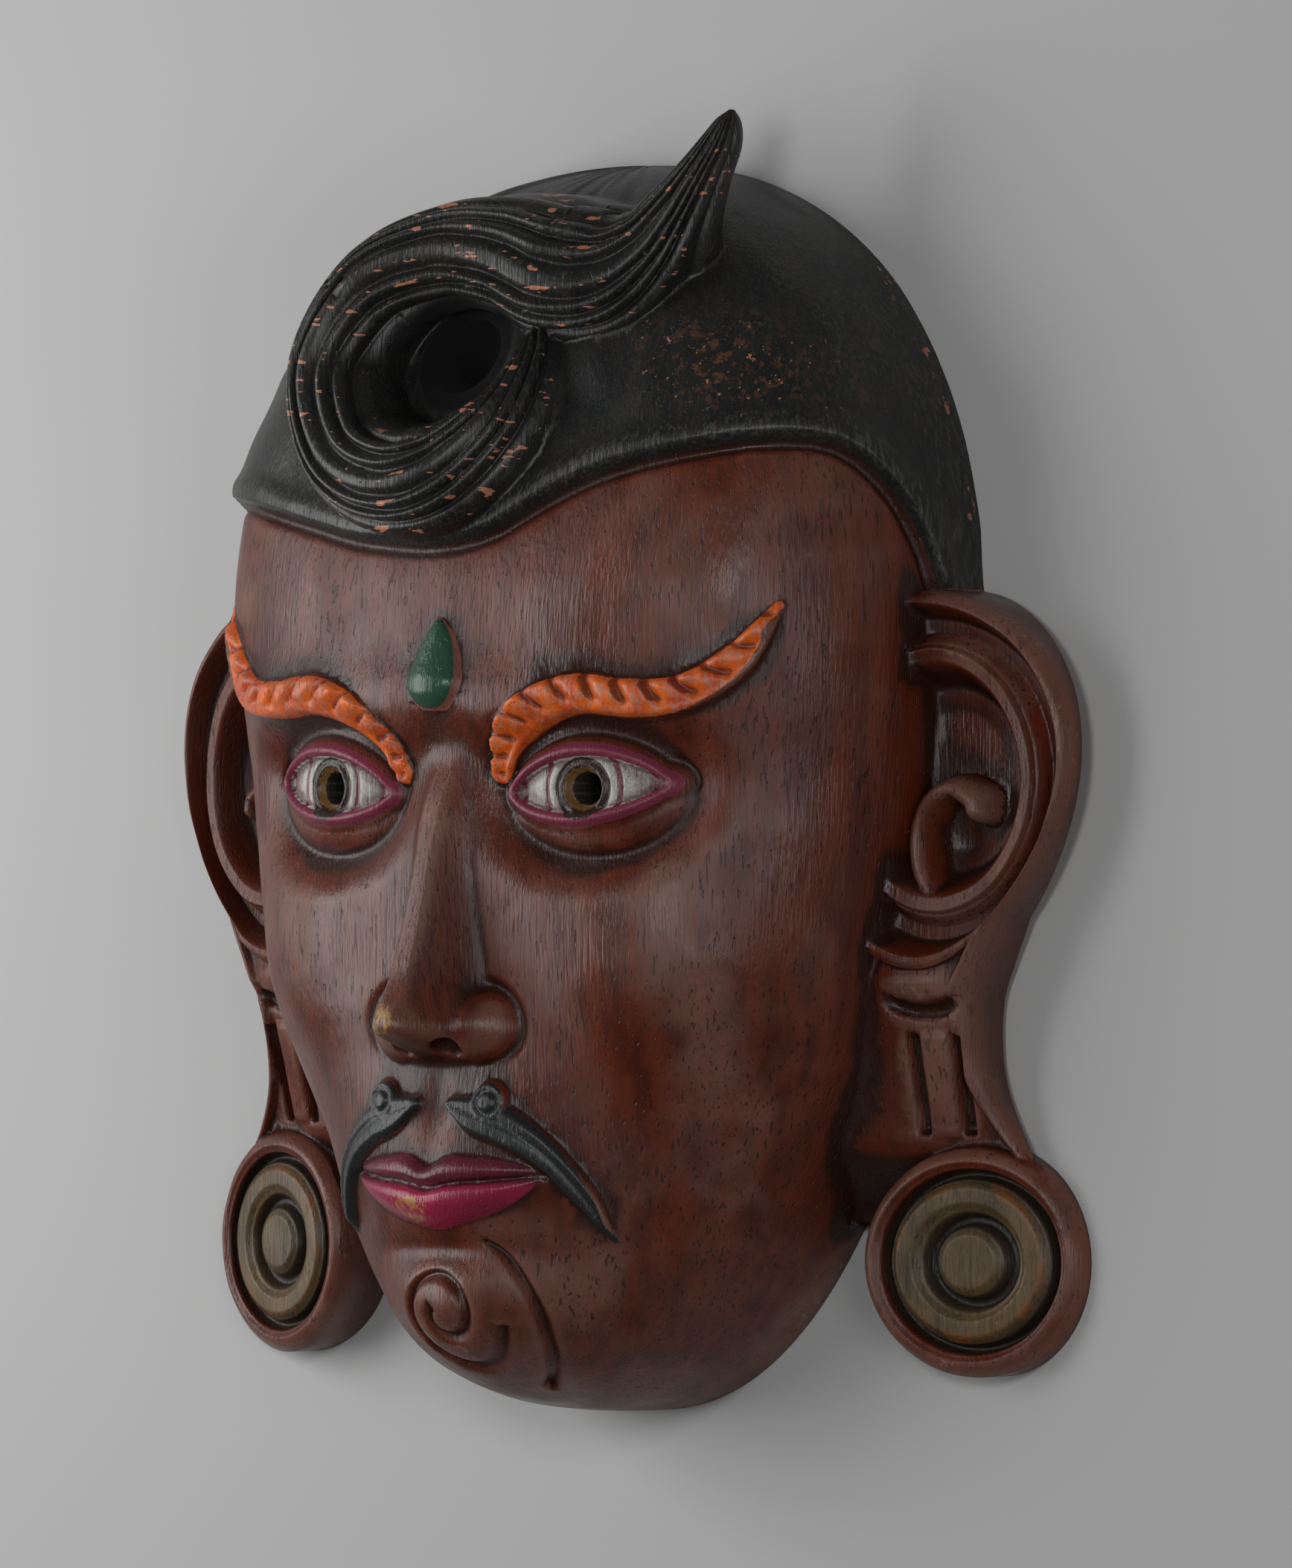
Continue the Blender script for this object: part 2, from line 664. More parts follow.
def ear_sheet(rings, segments):
    """Rings of points on the ear, with the curled ridge standing in its hollow, closed below."""
    ring = np.linspace(0, 2, rings)[:, None]
    angle = np.linspace(0, 2 * np.pi, segments, endpoint=False)[None]
    grow = np.clip(ring - 1, 0, 1)
    share = np.minimum(ring, 1)
    swing = np.sin(angle)
    egg = 1 + grow * (0.22 * swing - 0.1 * swing**2)
    half_width = inner_half_width + (ear_half_width - inner_half_width) * grow
    half_height = inner_half_height + (ear_half_height - inner_half_height) * grow
    x = inner_x + (ear_x - inner_x) * grow + share * half_width * np.cos(angle) * egg
    y = ear_y + share * half_height * swing
    away, _, _, half = beside(curl_line, x, y)
    curl = -11.5 + 9 * np.clip(1 - (away / half) ** 2, 0, 1) ** 0.6
    bowl = -1.6 * bell(x, y, (102, -17), (4.5, 6))
    form = profile(ear_knots, ring + 0 * angle)
    form = np.where(ring < 0.9, np.maximum(form, curl), form)
    hand = 0.22 * uneven(x, y, 8, 3)
    z = slab(x, y) + form + bowl + hand - rim_drop((2 - ring) * 9) * smooth(-41, -36.5, y)
    return closed_rings(np.stack([x, y, z], axis=-1), (ear_x, ear_y))


print("ear", 2 * ear_half_width, "by", 2 * ear_half_height, "mm")


# %% [markdown]
# ## The earring
# The earring is a round plate with turned rings. A lathe would cut it from a profile, and so
# does this: a height for each distance from the middle.

# %% The earring
disc_x, disc_y, disc_z, disc_sweep, disc_radius = 103.7, -111.3, 11.4, 0.3, 26
disc_knots = [
    (5.8, 0.5), (7.6, -0.6), (8.8, -3.4), (9.9, -3.4), (11.6, -0.6), (13.6, 0.7), (16.4, 0.6), (18.4, -0.8),
    (19.4, -3.5), (20, -3.4), (21.2, -0.2), (22.8, 0.6), (26, 0),
]


def disc_sheet(rings, segments):
    """A flange, a broad ring with a fine turned line and a button, divided by two grooves."""
    r = disc_radius * np.linspace(0, 1, rings)[:, None] ** 0.8
    angle = np.linspace(0, 2 * np.pi, segments, endpoint=False)[None]
    x = disc_x + r * np.cos(angle)
    y = disc_y + r * np.sin(angle)
    hand = 0.18 * uneven(x, y, 7, 4)
    edge = np.minimum(rim_drop(disc_radius - r), 3)
    z = disc_z - disc_sweep * (x - disc_x) + profile(disc_knots, r + 0 * angle) + hand - edge
    return closed_rings(np.stack([x, y, z], axis=-1), (disc_x, disc_y))


print("earring", 2 * disc_radius, "mm across")


# %% [markdown]
# ## The neck
# Between ear and earring the slab is cut into a sunk panel with an upright bar. Only its outer
# edge is free and curved, so a sheet of rows from inside the head to that edge suits it.

# %% The neck between ear and earring
neck_edge = [
    (-104, 128), (-97, 124.5), (-92, 120.4), (-86, 115.5), (-79, 111), (-71, 107.4), (-63, 106),
    (-52.5, 106.6), (-43, 110.8), (-37, 113.9), (-30, 117.2),
]
panel_top, panel_bottom, panel_sunk, panel_gap = -59.5, -82.5, 3.2, 2.4
rod_x, rod_half, rod_lean = 97, 4.2, -0.03
neck_rim, neck_rim_rise = 3.2, 2.2
lump_x, lump_y, lump_rise = 96, -49, 3


def neck_height(x, y, edge):
    """The slab with a raised outer rim, a rounded lump over a crescent cut, an upright bar in a
    sunk panel and a lower web to the jaw."""
    tall = smooth(panel_top, panel_top - 1.4, y) * smooth(panel_bottom - 0.8, panel_bottom + 0.8, y)
    away = np.abs(x - rod_x - rod_lean * (-71 - y))
    panel = 1 - smooth(rod_half + panel_gap - 0.6, rod_half + panel_gap + 0.6, away)
    bar = np.clip(1 - (away / rod_half) ** 4, 0, 1) ** 0.5
    web = 13 * smooth(-84, -103, y) * smooth(101, 88, x)
    lump = lump_rise * bell(x, y, (lump_x, lump_y), (9, 4.5))
    curve = y + 53.2 - 0.03 * (x - lump_x) ** 2
    crescent = -2.6 * smooth(0.5, -0.5, curve) * smooth(-4.2, -2.6, curve)
    crescent = crescent * smooth(10.5, 7, np.abs(x - lump_x))
    rim = neck_rim_rise * smooth(neck_rim + 1.5, neck_rim - 0.5, edge - x)
    hand = 0.22 * uneven(x, y, 8, 5)
    carved = lump + crescent + tall * panel_sunk * (1.3 * bar - panel)
    tuck = 0.8 * smooth(-34, -31, y)
    return slab(x, y) - neck_rim_rise + rim + carved + hand - web - tuck - rim_drop(edge - x)


def neck_sheet(columns, rows):
    """Rows of points from inside the head out to the neck's curved edge."""
    edge_line = smooth_line([(y, x, 0) for y, x in neck_edge], rows - 1)
    y = edge_line[:, :1] + np.zeros(columns)
    edge = edge_line[:, 1:2] + np.zeros(columns)
    x = 56 + (edge - 56) * np.linspace(0, 1, columns) ** 0.6
    return np.stack([x, y, neck_height(x, y, edge)], axis=-1)


print("neck panel", panel_top - panel_bottom, "mm tall")


# %% [markdown]
# The back of the ear and neck slopes up to their outer edge, so they stand clear of the ground
# and throw a thin shadow on it. The neck is cut off a little inside the ear's outline before the
# two join, so its end stays hidden in the ear.

# %% Cut the slab and mirror it
underside_from, underside_to, underside_slope = 96, 150, 0.2
knife_section = [
    (underside_from, below - 1), (underside_to, below - 1),
    (underside_to, underside_slope * (underside_to - underside_from)), (underside_from, 0),
]
knife_rings = np.array([[(x, y, z) for x, z in knife_section] for y in (-100, 60)], float)
ear_stack, neck_stop = 150, 0.915
ear_rings = ear_sheet(int(ear_stack * fine), int(220 * fine))
disc_rings = disc_sheet(int(90 * fine), int(160 * fine))
neck_rings = over_and_under(neck_sheet(int(100 * fine), int(110 * fine)))
outline_ring = ear_rings[int(ear_stack * fine * neck_stop)]
outline_rings = np.stack([outline_ring * [1, 1, 0] + [0, 0, height] for height in (below - 1, 60)])
flips = {"right": 1, "left": -1}


def on_side(side, word, rings, part, ends="point"):
    """A solid of the right ear where it is, or mirrored for the left ear."""
    return solid_from_rings(f"{word}_{side}", rings * [flips[side], 1, 1], part, ends)


ears = []
for side in flips:
    neck = on_side(side, "neck", neck_rings, from_ear, "fan")
    carve(neck, [on_side(side, "outline", outline_rings, from_ear, "fan")], "DIFFERENCE")
    shell = on_side(side, "ear", ear_rings, from_ear)
    carve(shell, [neck], "UNION")
    carve(shell, [on_side(side, "knife", knife_rings, from_knife, "fan")], "DIFFERENCE")
    ears += [shell, on_side(side, "disc", disc_rings, from_disc)]
print("ears", sum(len(piece.data.polygons) for piece in ears), "faces")

# %% [markdown]
# ## The forelock
# A thick lock of hair starts under the brow of the cap, turns once round a deep pit and runs out
# to a raised point. It is one cross section carried along a path: a rounded box whose top is cut
# into strands, with a deep groove between each two.

# %% The forelock's path and strands
swirl_x, swirl_y, strands, strand_groove = -7, 91, 7, 3
path_points = 800


def round_pit(angle, radius, half, top, bottom):
    """One station of the curl: a direction and distance from the middle of the pit."""
    turn = math.radians(angle)
    return (swirl_x + radius * math.cos(turn), swirl_y + radius * math.sin(turn), half, top, bottom)


lock_path = [
    round_pit(40, 19, 3.5, 50, 30), round_pit(6, 21.5, 7, 62, 30), round_pit(-28, 24, 11, 74, 30),
    round_pit(-66, 26, 14, 82.5, 30), round_pit(-100, 27, 14.5, 85, 30),
    round_pit(-138, 28, 14, 83, 28), round_pit(-180, 28.5, 12.8, 79, 22),
    round_pit(-222, 27, 13, 73, 14), round_pit(-262, 25.5, 13.5, 67.5, 8),
    (5, 115.5, 15, 64.5, 8), (18, 111, 17, 62.5, 10), (30.5, 111, 15.6, 58.5, 14),
    (39.5, 116.5, 12, 54, 24), (45.5, 124.5, 8.8, 50, 33), (50.5, 133, 6, 46.5, 35),
    (54, 140.5, 4.2, 43, 34), (55.8, 145.2, 2.5, 41, 35), (56.5, 147.873, 0.4, 38.5, 37),
]


def lock_rings(first, last, stations, around):
    """Cross sections along a stretch of the path, given as shares of the whole path. The groove
    depth is the height lost between rounded strands, and it fades where the lock is thin."""
    path = smooth_line(lock_path, path_points)
    place_on = np.linspace(first, last, stations) * path_points
    low = np.minimum(place_on.astype(int), path_points - 1)
    station = path[low] + (path[low + 1] - path[low]) * (place_on - low)[:, None]
    slope = np.gradient(path[:, :2], axis=0)[low]
    slope /= np.linalg.norm(slope, axis=1, keepdims=True)
    x, y, half, top, bottom = station.T[..., None]
    angle = np.linspace(0, 2 * np.pi, around, endpoint=False)[None]
    share = np.clip(angle / np.pi, 0, 1)
    along = np.linspace(first, last, stations)[:, None]
    drift = 0.035 * np.sin(2 * np.pi * (share * 1.5 + 1.6 * along))
    drift = drift + 0.02 * np.sin(9 * along + 7 * share)
    lane = share - 0.12 * np.sin(2 * np.pi * share) + drift
    wave = np.abs(np.sin(np.pi * strands * lane))
    fade = np.clip(half / 9, 0.12, 1) * smooth(0, 0.04, share) * smooth(1, 0.96, share)
    on_top = angle < np.pi
    valley = strand_groove * (1 - wave) ** 1.25 * fade * on_top
    fine_lines = 0.07 * np.sin(np.pi * strands * 5 * lane + 3 * np.sin(20 * along)) * fade
    valley = valley + fine_lines * on_top
    c, s = np.cos(angle), np.sin(angle)
    across = np.sign(c) * np.abs(c) ** 0.72 * (half - valley * np.abs(c))
    lift = np.sign(s) * np.abs(s) ** 0.72 * ((top - bottom) / 2 - valley * np.abs(s))
    z = (top + bottom) / 2 + lift + 0 * x
    return np.stack([x - slope[:, 1:] * across, y + slope[:, :1] * across, z], axis=-1)


lock_split = 0.4
lock_around = int(220 * fine)
curl_rings = lock_rings(0, lock_split, int(130 * fine), lock_around)
tail_rings = lock_rings(lock_split, 1, int(220 * fine), lock_around)
curl = solid_from_rings("curl", curl_rings, from_lock, "fan")
tail = solid_from_rings("tail", tail_rings, from_lock, "fan")
print("forelock", len(curl.data.polygons) + len(tail.data.polygons), "faces")

# %% [markdown]
# ## Cutting
# The hollow behind the face is another rounded block, a wall's thickness smaller. Round cutters
# pierce the pupils and sink the nostrils and the pit of the curl. One flat cut at height zero
# leaves the rim that the mask lies on.

# %% The hollow and the round cutters
hollow_depth = 0.72


def hollow_sheet(columns, rows):
    """The plain head's formula with a smaller width, height and depth."""
    angle, v = np.meshgrid(np.linspace(-np.pi / 2, np.pi / 2, columns), np.linspace(0, 1, rows))
    swing = np.sin(np.pi * (v - 0.5))
    y = form_mid + (form_half - wall) * swing
    outer_y = form_mid + form_half * swing
    x, z = on_section(*section_at(outer_y, head_half_width - wall, head_depth * hollow_depth), angle)
    gouge = 0.5 * uneven(x, y, 7, 6) + 0.4 * uneven(x, y, 14, 7)
    return np.stack([x, y, z + gouge * smooth(0, 12, z)], axis=-1)


def stick(centre, foot, head_radii, foot_radii, length, around=40):
    """A round or oval peg along Z that tapers from its head to its foot."""
    angle = np.linspace(0, 2 * np.pi, around, endpoint=False)
    share = np.linspace(0, 1, 3)[:, None]
    rx = foot_radii[0] + (head_radii[0] - foot_radii[0]) * share
    ry = foot_radii[1] + (head_radii[1] - foot_radii[1]) * share
    x = centre[0] + rx * np.cos(angle)
    y = centre[1] + ry * np.sin(angle)
    return np.stack([x, y, foot + length * share + 0 * angle], axis=-1)


def bean(centre, radii, rows=16, around=28):
    """An egg shape: a ball of rings from pole to pole, stretched to three radii."""
    tilt = np.linspace(0, np.pi, rows)[:, None]
    turn = np.linspace(0, 2 * np.pi, around, endpoint=False)[None]
    ball = [np.sin(tilt) * np.cos(turn), np.sin(tilt) * np.sin(turn), np.cos(tilt) + 0 * turn]
    return np.stack(ball, axis=-1) * radii + centre


deep = over_and_under(hollow_sheet(int(110 * fine), int(150 * fine)))
deep[:, -2:, 2] = 2 * below
knives = [solid_from_rings("hollow", deep, from_knife)]
for sign in (-1, 1):
    pupil = stick((sign * eye_x, eye_y), 10, (pupil_radius,) * 2, (pupil_radius,) * 2, 100)
    knives.append(solid_from_rings(f"pupil_{sign}", pupil, from_knife, "fan"))
    nostril = bean((sign * 7.2, nose_base_y + 1.5, 80), (3.6, 5, 5))
    knives.append(solid_from_rings(f"nostril_{sign}", nostril, from_knife))
pit_x, pit_y, pit_radii = swirl_x - 1, swirl_y + 2.5, (13.5, 11.5)
pit = stick((pit_x, pit_y), 47, pit_radii, (9.5, 8), 46, 80)
knives.append(solid_from_rings("pit", pit, from_knife, "fan"))
floor_block = stick((0, 0), -40, (300, 300), (300, 300), 40)
knives.append(solid_from_rings("floor_block", floor_block, from_knife, "fan"))
print("cutters", len(knives))


# %% [markdown]
# ## Joining
# The real mask is one block, so all the solids are joined first and cut afterwards. Each face
# keeps the number of the solid it came from, which later tells hair from ear and knife.

# %% Join and cut
carve(head, ears + [curl, tail], "UNION")
carve(head, knives, "DIFFERENCE")
print("carved", len(head.data.polygons), "faces")

# %% [markdown]
# ## One surface within a sensible size
# The joined solid is much finer than any picture needs on its broad, smooth parts. Collapsing
# the edges that matter least keeps the sharp cuts and thins the rest.

# %% Thin the carved surface
triangle_budget = 190000


def read(items, name, width=1, kind=np.int32):
    """One row of values for each vertex, edge, corner or face of a mesh."""
    values = np.empty(len(items) * width, kind)
    items.foreach_get(name, values)
    return values.reshape(-1, width) if width > 1 else values


def triangle_count(mesh):
    """Triangles in a mesh: each face holds two fewer than it has sides."""
    return int((read(mesh.polygons, "loop_total") - 2).sum())


thin = head.modifiers.new("thin", "DECIMATE")
thin.ratio = min(1, triangle_budget / triangle_count(head.data))
thin.use_collapse_triangulate = True
graph = bpy.context.evaluated_depsgraph_get()
mask_mesh = bpy.data.meshes.new_from_object(head.evaluated_get(graph))
bpy.data.objects.remove(head)
mask = in_scene("carved_mask_surface", mask_mesh)
print("kept", triangle_count(mask_mesh), "triangles")

# %% [markdown]
# ## Where each paint goes
# Paint borders follow the drawn lines, so the mesh stores how far each of its points is inside
# each painted shape. Distances blend evenly across a triangle, so the shader can cut a crisp,
# slightly ragged border anywhere, finer than the mesh itself.

# %% Read the finished surface
points = read(mask_mesh.vertices, "co", 3, np.float32).astype(float) / mm
normals = read(mask_mesh.vertices, "normal", 3, np.float32)
corners = read(mask_mesh.loops, "vertex_index")
edges = read(mask_mesh.edges, "vertices", 2)
face_part = read(mask_mesh.polygons, "material_index")
sides = read(mask_mesh.polygons, "loop_total")
corner_face = np.repeat(np.arange(len(sides)), sides)
corner_part = face_part[corner_face]
corners_at = np.maximum(np.bincount(corners, minlength=len(points)), 1)
print("points", len(points))


def share_from(part):
    """The share of a point's faces that came from one of the solids."""
    return np.bincount(corners, weights=corner_part == part, minlength=len(points)) / corners_at


def neighbour_mean(values):
    """Each point's value averaged with those at the other ends of its edges."""
    total = values.copy()
    count = np.ones(len(values))
    for a, b in ((0, 1), (1, 0)):
        np.add.at(count, edges[:, a], 1)
        for axis in range(values.shape[1]):
            far_end = values[edges[:, b], axis]
            total[:, axis] += np.bincount(edges[:, a], weights=far_end, minlength=len(values))
    return total / count[:, None]


# %% Distances into each painted shape
x, y, z = points.T
side_x = np.abs(x)
round_angle = np.arctan2(x, np.maximum(z, 1e-3))
on_head = share_from(from_head) > 0
face_from, lock_from = 18, 40
in_front = on_head & (z > face_from)
nowhere = -9.0
pit_mouth = 14.2
relief_rounds, hollow_rounds = 14, 120


def only(where, values):
    """Keeps values where a test holds and puts them well outside the shape elsewhere."""
    return np.where(where, values, nowhere)


hair = np.where(share_from(from_ear) > 0, nowhere, inside_hair(round_angle, y))
hair = np.where(share_from(from_lock) > 0, -nowhere, hair)
pit_away = np.hypot(x - pit_x, y - pit_y)
hair = np.where((pit_away < pit_mouth) & (z > lock_from), -nowhere, hair)
brow_away, brow_across, brow_along, brow_half = beside(brow_line, side_x, y)
seam, upper, lower, _ = lip_lines(side_x)
lip = np.where(y > seam, upper - (y - seam), lower - (seam - y))
tache_away, _, _, tache_half = beside(moustache_line, side_x, y)
boss = boss_radius * 0.95 - np.hypot(side_x - boss_x, y - boss_y)
notch = brow_notch(brow_across, brow_along, brow_half)
arc = np.minimum(*(
    np.abs(np.hypot(side_x - eye_x + shift, y - eye_y) - iris_radius - arc_reach)
    for shift in (arc_shift, -arc_shift)
))
nose_gold = 4.2 - np.hypot(x + 2, (y - nose_tip_y - 1) / 0.8)
lip_gold = 3 - np.hypot((x + 4) / 1.6, y - mouth_y + 6)
iris_away = np.hypot(side_x - eye_x, y - eye_y)
ring_away = np.hypot(side_x - disc_x, y - disc_y)


def standing(rounds):
    """How far each point stands out along its normal from where repeated averaging with its
    neighbours would move it."""
    smoothed = points
    for _ in range(rounds):
        smoothed = neighbour_mean(smoothed)
    return ((points - smoothed) * normals).sum(1)


relief = standing(int(relief_rounds * fine))
fields = {
    "hair": hair,
    "brow": only(in_front & (hair < 0), brow_half * 0.97 - brow_away),
    "drop": only(in_front, (0.97 - drop_share(x, y)[0]) * drop_half),
    "eye": only(in_front, eye_opening(side_x, y)),
    "iris": np.where(in_front | (share_from(from_knife) > 0), iris_away, -nowhere),
    "lip": only(in_front & (side_x < lip_half + 1), lip),
    "moustache": only(in_front, np.maximum(tache_half * 0.95 - tache_away, boss)),
    "ring": np.where(share_from(from_disc) > 0, ring_away, 30.0),
    "gold": only(in_front, np.maximum(nose_gold, lip_gold)),
    "rubbed": bell(x, y, (64, 90 - 0.25 * (x - 64)), (19, 9)) * (hair > 1),
    "notch": only(in_front, notch),
    "arc": only(in_front, 0.55 - arc),
    "pit": 15 - np.where(z > lock_from, pit_away, 30),
    "lock": share_from(from_lock),
    "relief": relief,
    "hollow": standing(int(hollow_rounds * fine * fine)),
}
for name, values in fields.items():
    layer = mask_mesh.attributes.new(name, "FLOAT", "POINT")
    layer.data.foreach_set("value", values.astype(np.float32))
print("relief from", round(relief.min(), 2), "to", round(relief.max(), 2), "mm")

# %% [markdown]
# ## Laying out shader nodes
# The finishes are built from a few small helpers, so that the lines below read like a recipe:
# place a node, do a sum, make a soft step, mix two colours.

# %% Shader helpers
def place(tree, kind, inputs=None, **settings):
    """Adds one node. Each input is a plain value or another node's output."""
    node = tree.nodes.new(kind)
    for name, value in settings.items():
        setattr(node, name, value)
    for name, value in (inputs or {}).items():
        if isinstance(value, bpy.types.NodeSocket):
            tree.links.new(value, node.inputs[name])
        else:
            node.inputs[name].default_value = value
    return node


def calc(tree, operation, *values):
    """One sum on up to three values."""
    return place(tree, "ShaderNodeMath", dict(enumerate(values)), operation=operation).outputs[0]


def step(tree, value, low, high, start=0.0, end=1.0):
    """A soft step from start to end as the value goes from low to high."""
    inputs = {"Value": value, "From Min": low, "From Max": high, "To Min": start, "To Max": end}
    return place(tree, "ShaderNodeMapRange", inputs, interpolation_type="SMOOTHSTEP").outputs[0]


def mixed(tree, share, a, b):
    """Two colours mixed by a share."""
    return place(tree, "ShaderNodeMix", {0: share, 6: a, 7: b}, data_type="RGBA").outputs[2]


def noise(tree, place_in, size, detail=2.0, roughness=0.5):
    """Noise whose features have the given size in millimetres along X, Y and Z."""
    scale = tuple(1000 / s for s in size)
    scaled = place(tree, "ShaderNodeMapping", {"Vector": place_in, "Scale": scale}).outputs[0]
    inputs = {"Vector": scaled, "Scale": 1.0, "Detail": detail, "Roughness": roughness}
    return place(tree, "ShaderNodeTexNoise", inputs).outputs[0]


def field(tree, name):
    """A distance that the mesh stores at its points."""
    return place(tree, "ShaderNodeAttribute", attribute_name=name).outputs["Fac"]


def colour(red, green, blue):
    """A colour that covers fully, as a socket takes it."""
    return (red, green, blue, 1.0)


def new_group(name, inputs, outputs):
    """An empty node group with named sockets, its tree, and the outputs of its input node."""
    tree = bpy.data.node_groups.new(name, "ShaderNodeTree")
    for title, kind in inputs:
        tree.interface.new_socket(name=title, in_out="INPUT", socket_type=kind)
    for title, kind in outputs:
        tree.interface.new_socket(name=title, in_out="OUTPUT", socket_type=kind)
    return tree, tree.nodes.new("NodeGroupInput").outputs, tree.nodes.new("NodeGroupOutput").inputs


def use_group(tree, group, inputs):
    """Places a node group and returns its outputs."""
    return place(tree, "ShaderNodeGroup", inputs, node_tree=group).outputs


def new_material(name):
    """A material, its tree and its shader, with the place in space and the wood grain there."""
    material = bpy.data.materials.new(name)
    material.use_nodes = True
    nodes = material.node_tree
    here = place(nodes, "ShaderNodeTexCoord").outputs["Object"]
    grain_here = use_group(nodes, grain, {"Place": here})
    return material, nodes, nodes.nodes["Principled BSDF"], here, grain_here


def finish_shader(tree, shader, base, rough, height):
    """Joins a colour, a roughness and a fine relief in millimetres to the shader."""
    bump = place(tree, "ShaderNodeBump", {"Height": height, "Strength": 1.0, "Distance": mm})
    tree.links.new(bump.outputs[0], shader.inputs["Normal"])
    tree.links.new(base, shader.inputs["Base Color"])
    tree.links.new(rough, shader.inputs["Roughness"])


# %% [markdown]
# ## Wood grain
# The block's fibres run from chin to crown. Under the thin paint they show as fine lines, broad
# soft streaks, and short open pores a few millimetres long. All three are noise squeezed across
# the grain and stretched along it.

# %% The grain group
number, vector = "NodeSocketFloat", "NodeSocketVector"
grain, given, result = new_group(
    "wood_grain", [("Place", vector)],
    [("Fibre", number), ("Streak", number), ("Pore", number), ("Cloud", number)],
)
where = given["Place"]
fibre = noise(grain, where, (0.7, 11, 0.7), 3, 0.6)
streak = noise(grain, where, (5, 60, 5), 3, 0.55)
pore_noise = noise(grain, where, (0.75, 6, 0.75), 1, 0.4)
patch = noise(grain, where, (16, 26, 16), 2, 0.5)
pore_edge = calc(grain, "MULTIPLY_ADD", patch, -0.2, 0.76)
pore = step(grain, calc(grain, "SUBTRACT", pore_noise, pore_edge), 0, 0.05)
grain.links.new(fibre, result["Fibre"])
grain.links.new(streak, result["Streak"])
grain.links.new(pore, result["Pore"])
grain.links.new(patch, result["Cloud"])
print("grain group", len(grain.nodes), "nodes")

# %% [markdown]
# ## The border of a paint
# A brush leaves a border that wavers by a fraction of a millimetre and old paint flakes back
# from it. The group turns a stored distance into a mask with such a border.

# %% The paint border group
border, given, result = new_group(
    "paint_border", [("Distance", number), ("Place", vector), ("Waver", number)], [("Mask", number)]
)
ragged = noise(border, given["Place"], (1.1, 1.8, 1.1), 3, 0.6)
shift = calc(border, "MULTIPLY", calc(border, "SUBTRACT", ragged, 0.5), given["Waver"])
wavering = calc(border, "ADD", given["Distance"], shift)
border.links.new(step(border, wavering, -0.12, 0.12), result["Mask"])
print("border group", len(border.nodes), "nodes")

# %% [markdown]
# ## Wear and grime
# Hands rub paint off whatever stands up, and dust and old varnish stay in what lies low. The
# mesh stores how far each point stands above its surroundings, and this group turns that into a
# mask of worn spots and one of dark hollows.

# %% The wear group
wear, given, result = new_group(
    "wear_and_grime", [("Relief", number), ("Place", vector), ("Reach", number)],
    [("Worn", number), ("Grime", number)],
)
chip = noise(wear, given["Place"], (1.8, 2.6, 1.8), 4, 0.62)
broad = noise(wear, given["Place"], (15, 20, 15), 2, 0.5)
edge_share = calc(wear, "DIVIDE", given["Relief"], given["Reach"])
edge_part = calc(wear, "MINIMUM", edge_share, 1.0)
rubbing = calc(wear, "ADD", calc(wear, "MULTIPLY", chip, 1.1), calc(wear, "MULTIPLY", broad, 0.7))
rubbing = calc(wear, "ADD", rubbing, calc(wear, "MULTIPLY", edge_part, 0.3))
wear.links.new(step(wear, rubbing, 1.38, 1.46), result["Worn"])
wear.links.new(step(wear, edge_share, -0.1, -1.1), result["Grime"])
print("wear group", len(wear.nodes), "nodes")

# %% [markdown]
# ## The painted front
# One stained and varnished wood carries every paint, as on the real mask: the red-brown stain
# first, then orange brows, a green drop, white eyes with wine-red lids and lips, black hair and
# moustache, and gold in a few places. Each is laid over the last with its own border, so one
# material is enough and every colour shares the same grain and wear.

# %% The painted wood
paint, tree, shader, spot, lines = new_material("painted_wood")
shader.inputs["Specular IOR Level"].default_value = 0.34
axes = place(tree, "ShaderNodeSeparateXYZ", {0: spot}).outputs
stands = field(tree, "relief")
sunken = field(tree, "hollow")
worn = use_group(tree, wear, {"Relief": stands, "Place": spot, "Reach": 0.45})


def both(a, b):
    """Where two masks overlap, or a mask thinned to a share: their product."""
    return calc(tree, "MULTIPLY", a, b)


def specks(size, low, high, detail=3, roughness=0.6):
    """Scattered spots: noise of a size in millimetres, cut by a soft step."""
    return step(tree, noise(tree, spot, size, detail, roughness), low, high)


def two_tones(mask, first, second):
    """One colour where the mask is empty, going over to another where it is full."""
    return mixed(tree, mask, colour(*first), colour(*second))


def tinted(base, *coats):
    """Thin coats over a colour, one after another: each is a mask and the colour it brings."""
    for mask, tone in coats:
        base = mixed(tree, mask, base, colour(*tone))
    return base


def inside(distance, waver):
    """The mask of one painted shape, from the distance into it."""
    return use_group(tree, border, {"Distance": distance, "Place": spot, "Waver": waver})["Mask"]


# %% [markdown]
# ## The stain
# A thin red-brown stain lets the grain through, is dark in the hollows and rubbed pale on what
# stands up. Coats laid one after another, each with its own mask, give that depth, where one
# flat colour would look like plastic.

